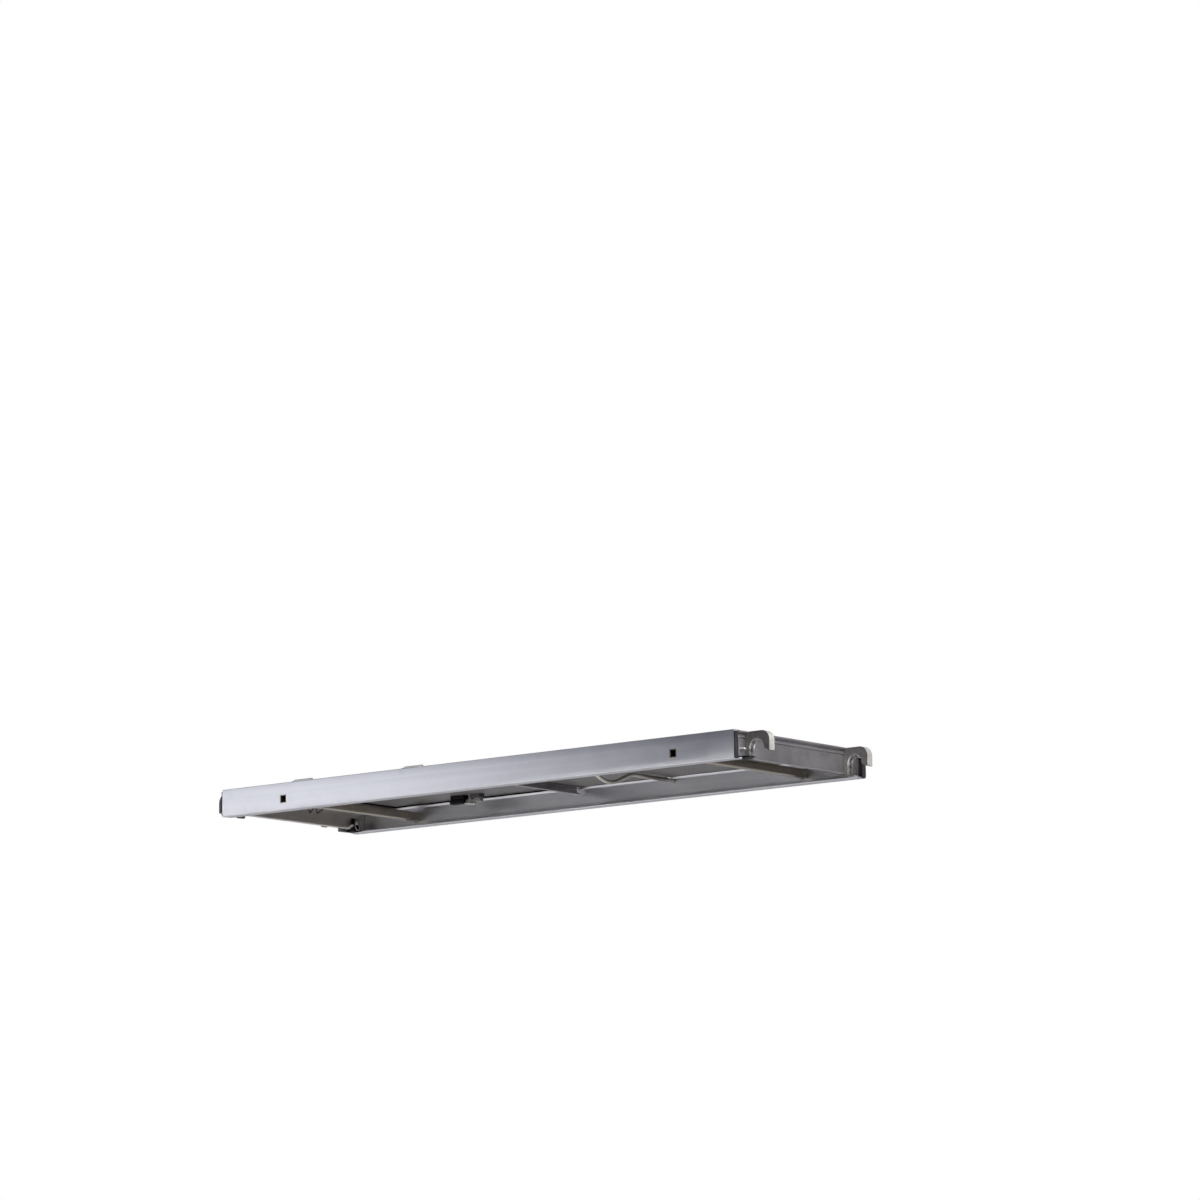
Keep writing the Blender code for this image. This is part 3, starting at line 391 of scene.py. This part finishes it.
# The finish of each of the record's slots, and of the nodes that differ from their slot; the darker
# finishes of the aluminium slot and of the cross tubes are painted shade
FINISHES = {"aluminium": SHADE_DARKENED_ALUMINIUM, "cast_aluminium": CAST, "plywood": PLY, "zinc_steel": ZINC,
            "latch_metal": DULL, "black_plastic": BLACK, "black_rubber": RUBBER}
OWN_FINISHES = {"side_rail": RAIL, "bent_rod": BAR, "cross_tube": TUBE_PAINTED_SHADE, "end_beam_left": BEIGE,
                "latch_base": GRAPHITE, "latch_spindle": ZINC}


def by_start(table, name, otherwise):
    """The entry of a table whose key a name starts with."""
    return next((value for start, value in table.items() if name.startswith(start)), otherwise)


def dress_node(name, node):
    """Give a CAD node its finish, weld its facets together and soften its edges."""
    node.data.materials.clear()
    node.data.materials.append(by_start(OWN_FINISHES, name, FINISHES[SLOTS[name]]))
    if "custom_normal" in node.data.attributes:
        node.data.attributes.remove(node.data.attributes["custom_normal"])
    node.data.shade_smooth()
    node.modifiers.new("weld", "WELD").merge_threshold = MERGE_DISTANCE
    width = by_start(BEVELS, name, 0)
    if width:
        bevel = node.modifiers.new("edges", "BEVEL")
        bevel.width = width
        bevel.segments = 3
        bevel.limit_method = "ANGLE"
        bevel.angle_limit = BEVEL_ANGLE
        node.modifiers.new("flats", "WEIGHTED_NORMAL").keep_sharp = True
    else:
        node.modifiers.new("sharp", "EDGE_SPLIT").split_angle = SHARP_ANGLE


for node_name, node_object in NODES.items():
    dress_node(node_name, node_object)


# Pieces

def piece(name, shape, finish, body):
    """Make a bmesh in the row frame into a piece that rides on a body."""
    bmesh.ops.recalc_face_normals(shape, faces=shape.faces)
    mesh = bpy.data.meshes.new(name)
    shape.to_mesh(mesh)
    shape.free()
    mesh.materials.append(finish)
    mesh.shade_smooth()
    mesh.set_sharp_from_angle(angle=SHARP_ANGLE)
    made = bpy.data.objects.new(name, mesh)
    bpy.context.scene.collection.objects.link(made)
    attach(made, body)


def angles(count):
    """Angles of a full turn in equal steps."""
    return [2 * pi * k / count for k in range(count)]


def web_face(side):
    """Y of the inner face of a side rail's web."""
    low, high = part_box("side_rail_" + side)
    return low.y + RAIL_WALL if side == "front" else high.y - RAIL_WALL


def walk(path, step, closed):
    """Points every step along a polyline, each with its direction."""
    points = [Vector(p) for p in path]
    if closed:
        points.append(points[0])
    places = []
    for start, end in zip(points, points[1:]):
        length = (end - start).length
        count = max(1, ceil(length / step))
        heading = (end - start) / length
        for i in range(count):
            places.append((start.lerp(end, i / count), heading))
    if not closed:
        places.append((points[-1], (points[-1] - points[-2]).normalized()))
    return places


def nearest(vertex, ring):
    """Index of the ring's vertex that is closest to another vertex."""
    return min(range(len(ring)), key=lambda k: (ring[k].co - vertex.co).length)


def bead_size(step):
    """Thickness of a bead at a step along it, as a part of its radius: ripples and a slow drift."""
    phase = step / RIPPLE_STEPS
    ripple = abs(sin(pi * phase)) ** 0.6
    return 0.80 + 0.22 * ripple + 0.05 * sin(1.7 * phase)


def bead(shape, path, radius, closed=False):
    """A weld bead: a tube along a path that swells once for each ripple."""
    rings = []
    for step, (point, heading) in enumerate(walk(path, RIPPLE / RIPPLE_STEPS, closed)):
        size = radius * bead_size(step)
        side = heading.orthogonal().normalized()
        other = heading.cross(side)
        rings.append([shape.verts.new(point + size * (cos(a) * side + sin(a) * other))
                      for a in angles(BEAD_SIDES)])
    pairs = list(zip(rings, rings[1:]))
    if closed:
        pairs.append((rings[-1], rings[0]))
    for ring, after in pairs:
        offset = nearest(ring[0], after)
        for k in range(BEAD_SIDES):
            following = (k + 1) % BEAD_SIDES
            shape.faces.new((ring[k], ring[following], after[(following + offset) % BEAD_SIDES],
                             after[(k + offset) % BEAD_SIDES]))
    if not closed:
        shape.faces.new(reversed(rings[0]))
        shape.faces.new(rings[-1])


def tube_welds():
    """Beads round the cross tubes at the webs that they pass through."""
    shape = bmesh.new()
    for tube in ("cross_tube_left", "cross_tube_right"):
        low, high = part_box(tube)
        for side in ("front", "rear"):
            y = web_face(side)
            corners = [(low.x, y, low.z), (high.x, y, low.z), (high.x, y, high.z), (low.x, y, high.z)]
            bead(shape, corners, TUBE_BEAD, closed=True)
    piece("tube_welds", shape, WELD, "frame")


def rod_welds():
    """Beads round both ends of the bent rod."""
    shape = bmesh.new()
    low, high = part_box("bent_rod")
    radius = (high.x - low.x) / 2
    x = (high.x + low.x) / 2
    z = high.z - radius
    for side in ("front", "rear"):
        y = web_face(side)
        around = [(x + radius * cos(a), y, z + radius * sin(a)) for a in angles(ROD_CORNERS)]
        bead(shape, around, ROD_BEAD, closed=True)
    piece("rod_welds", shape, WELD, "frame")


def beam_welds():
    """Upright beads at the outer and inner faces of the end beams, where they meet the webs."""
    shape = bmesh.new()
    for end in ("left", "right"):
        low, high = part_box("end_beam_" + end)
        outward = 1 if end == "right" else -1
        outer = (high.x if end == "right" else low.x) - outward * BEAM_LIP
        for x in (outer, outer - outward * BEAM_DEPTH):
            for side in ("front", "rear"):
                y = web_face(side)
                bead(shape, [(x, y, low.z + BEAD_MARGIN), (x, y, -BEAD_MARGIN)], BEAM_BEAD)
    piece("beam_welds", shape, WELD, "frame")


def turned(shape, profile, matrix):
    """Revolve (radius, height) points about Z and place them with a matrix."""
    rings = []
    for radius, height in profile:
        spots = [Vector((radius * cos(a), radius * sin(a), height)) for a in angles(RIVET_SIDES)]
        if radius == 0:
            spots = spots[:1]
        rings.append([shape.verts.new(matrix @ spot) for spot in spots])
    for ring, after in zip(rings, rings[1:]):
        for k in range(RIVET_SIDES):
            corners = [ring[k % len(ring)], ring[(k + 1) % len(ring)],
                       after[(k + 1) % len(after)], after[k % len(after)]]
            unique = list(dict.fromkeys(corners))
            if len(unique) > 2:
                shape.faces.new(unique)


def rivet(shape, place, direction, radius=RIVET_RADIUS):
    """A blind rivet's domed head with its broken mandrel in the middle."""
    height = radius * 0.42
    dome = [(radius, -0.0002), (radius, 0.0002),
            (radius * 0.93, height * 0.55), (radius * 0.72, height * 0.90), (radius * 0.46, height),
            (radius * 0.40, height * 0.72), (radius * 0.30, height * 0.70),
            (radius * 0.26, height * 0.95), (0, height * 1.02)]
    turn = Vector(direction).to_track_quat("Z", "Y").to_matrix().to_4x4()
    turned(shape, dome, Matrix.Translation(place) @ turn)


def leaf_rivets(name, low, high, y, radius, body):
    """A row of rivets along a hinge's leaf, whose box goes from low to high."""
    shape = bmesh.new()
    for part in LEAF_PARTS:
        place = (low.x + part * (high.x - low.x), y, low.z + LEAF_THICK)
        rivet(shape, place, (0, 0, 1), radius)
    piece(name, shape, ZINC, body)


def hinge_rivets():
    """Rivets of the fixed and the moving leaf of both hinges."""
    for number in (1, 2):
        low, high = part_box("hinge_leaf_fixed_%d" % number)
        row = low.y + FIXED_LEAF_ROW
        leaf_rivets("hinge_rivets_fixed_%d" % number, low, high, row, FIXED_LEAF_RIVET, "frame")
        low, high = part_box("hinge_leaf_moving_%d" % number)
        row = high.y - MOVING_LEAF_ROW
        leaf_rivets("hinge_rivets_moving_%d" % number, low, high, row, RIVET_RADIUS, "hatch")


def board_rivets():
    """Rivets that hold the fixed boards under the lips of the end beams and sills."""
    shape = bmesh.new()
    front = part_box("side_rail_front")[1].y + ROW_INSET
    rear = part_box("side_rail_rear")[0].y - ROW_INSET

    def row(x, z, inset):
        for k in range(BOARD_RIVETS):
            y = front + inset + k * (rear - front - 2 * inset) / (BOARD_RIVETS - 1)
            rivet(shape, (x, y, z), (0, 0, 1))

    for end in ("left", "right"):
        inward = 1 if end == "left" else -1
        low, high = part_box("end_beam_" + end)
        row((high.x if end == "left" else low.x) - inward * BEAM_ROW, high.z, BEAM_ROW_INSET)
        low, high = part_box("hatch_sill_" + end)
        row((low.x if end == "left" else high.x) + inward * SILL_ROW, high.z, 0)
    piece("board_rivets", shape, ZINC, "frame")


def latch_screws():
    """Two domed screws that hold the latch's metal block up under the hatch."""
    low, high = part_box("latch_base")
    shape = bmesh.new()
    for part in SCREW_PARTS:
        place = (low.x + part * (high.x - low.x), (low.y + high.y) / 2, low.z)
        rivet(shape, place, (0, 0, -1), LATCH_SCREW)
    piece("latch_screws", shape, ZINC, "hatch")


def stroke(shape, x, start, end):
    """A felt-pen stroke on a wall that faces +X; start and end are (y, z)."""
    along = (end - start).normalized() * INK_WIDTH / 2
    across = Vector((-along.y, along.x))
    outline = [start - along + across, start - along - across, end + along - across, end + along + across]
    back, front = [[shape.verts.new((level, p.x, p.y)) for p in outline]
                   for level in (x - INK_DEPTH, x + INK_DEPTH)]
    shape.faces.new(back)
    shape.faces.new(front)
    for k in range(4):
        shape.faces.new((back[k - 1], back[k], front[k], front[k - 1]))


def ink_ticks():
    """Two check marks drawn by hand on the inside of the left end beam."""
    low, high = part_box("end_beam_left")
    x = low.x + BEAM_LIP + BEAM_DEPTH
    middle = Vector(((low.y + high.y) / 2, (low.z + high.z) / 2))
    shape = bmesh.new()
    for foot, short, long in TICKS:
        foot = middle + Vector(foot)
        stroke(shape, x, foot + Vector(short), foot)
        stroke(shape, x, foot, foot + Vector(long))
    piece("ink_ticks", shape, INK, "frame")


tube_welds()
rod_welds()
beam_welds()
hinge_rivets()
board_rivets()
latch_screws()
ink_ticks()


# Stage, light and camera

def lay_floor():
    """A pale floor, far below because the camera looks up at the plank."""
    shape = bmesh.new()
    bmesh.ops.create_grid(shape, x_segments=1, y_segments=1, size=FLOOR_SIZE / 2)
    bmesh.ops.translate(shape, vec=(CENTRE.x, CENTRE.y, FLOOR_Z), verts=shape.verts)
    mesh = bpy.data.meshes.new("floor")
    shape.to_mesh(mesh)
    shape.free()
    mesh.materials.append(floor_paint("floor_paint"))
    floor = bpy.data.objects.new("floor", mesh)
    bpy.context.scene.collection.objects.link(floor)


def light_world():
    """A pale room as a ramp of the direction's part along SKY_TOWARD."""
    world = bpy.data.worlds.new("studio")
    bpy.context.scene.world = world
    world.use_nodes = True
    nodes = world.node_tree.nodes
    link = world.node_tree.links.new
    place = nodes.new("ShaderNodeTexCoord")
    toward = nodes.new("ShaderNodeVectorMath")
    toward.operation = "DOT_PRODUCT"
    toward.inputs[1].default_value = SKY_TOWARD
    link(place.outputs["Generated"], toward.inputs[0])
    ramp = nodes.new("ShaderNodeValToRGB")
    stops = ramp.color_ramp.elements
    while len(stops) < len(SKY):
        stops.new(0.5)
    for stop, (position, colour) in zip(stops, SKY):
        stop.position = position
        stop.color = (*colour, 1)
    link(toward.outputs["Value"], ramp.inputs[0])
    link(ramp.outputs[0], nodes["Background"].inputs[0])


def add_light(name, place, aim, size, power, colour=(1, 1, 1), spread=180):
    """A rectangular area light that the camera doesn't see; power is in watts, spread in degrees."""
    light = bpy.data.lights.new(name, "AREA")
    light.shape = "RECTANGLE"
    light.size, light.size_y = size
    light.energy = power
    light.color = colour
    light.spread = radians(spread)
    holder = bpy.data.objects.new(name, light)
    bpy.context.scene.collection.objects.link(holder)
    holder.location = place
    holder.rotation_euler = (Vector(place) - Vector(aim)).to_track_quat("Z", "Y").to_euler()
    holder.visible_camera = False


def add_lights():
    """A key from the right, a card that fades along the front rail, a low card and a wash on the floor."""
    add_light("key", (4.2, 0.1, 2.0), aim=(0.0, CENTRE.y, 0), size=(2.0, 2.0), power=135, spread=60)
    add_light("left_card", (-3.95, -2.4, 0.6), aim=(-2.06, CENTRE.y, 0), size=(1.9, 1.4), power=11,
              colour=(0.95, 0.97, 1.0))
    add_light("low_card", (-3.1, -1.7, -1.7), aim=(CENTRE.x, CENTRE.y, 0), size=(3.4, 1.0), power=2.2,
              colour=(1.0, 0.90, 0.74))
    add_light("floor_wash", (-11.0, -13.5, 6.0), aim=(-11.0, -13.5, FLOOR_Z), size=(9.0, 9.0),
              power=1300, spread=90)


def add_camera():
    """The photograph's camera, on a sphere round CAMERA_AIM."""
    azimuth = radians(CAMERA_AZIMUTH)
    elevation = radians(CAMERA_ELEVATION)
    back = Vector((sin(azimuth) * cos(elevation), -cos(azimuth) * cos(elevation), sin(elevation)))
    lens = bpy.data.cameras.new("camera")
    lens.lens = CAMERA_LENS
    lens.sensor_width = CAMERA_SENSOR
    lens.clip_end = CAMERA_RANGE
    camera = bpy.data.objects.new("camera", lens)
    bpy.context.scene.collection.objects.link(camera)
    camera.location = Vector(CAMERA_AIM) + back * CAMERA_DISTANCE
    turn = back.to_track_quat("Z", "Y").to_matrix() @ Matrix.Rotation(radians(CAMERA_ROLL), 3, "Z")
    camera.rotation_euler = turn.to_euler()
    bpy.context.scene.camera = camera


lay_floor()
light_world()
add_lights()
add_camera()
bpy.context.scene.view_settings.view_transform = "Standard"
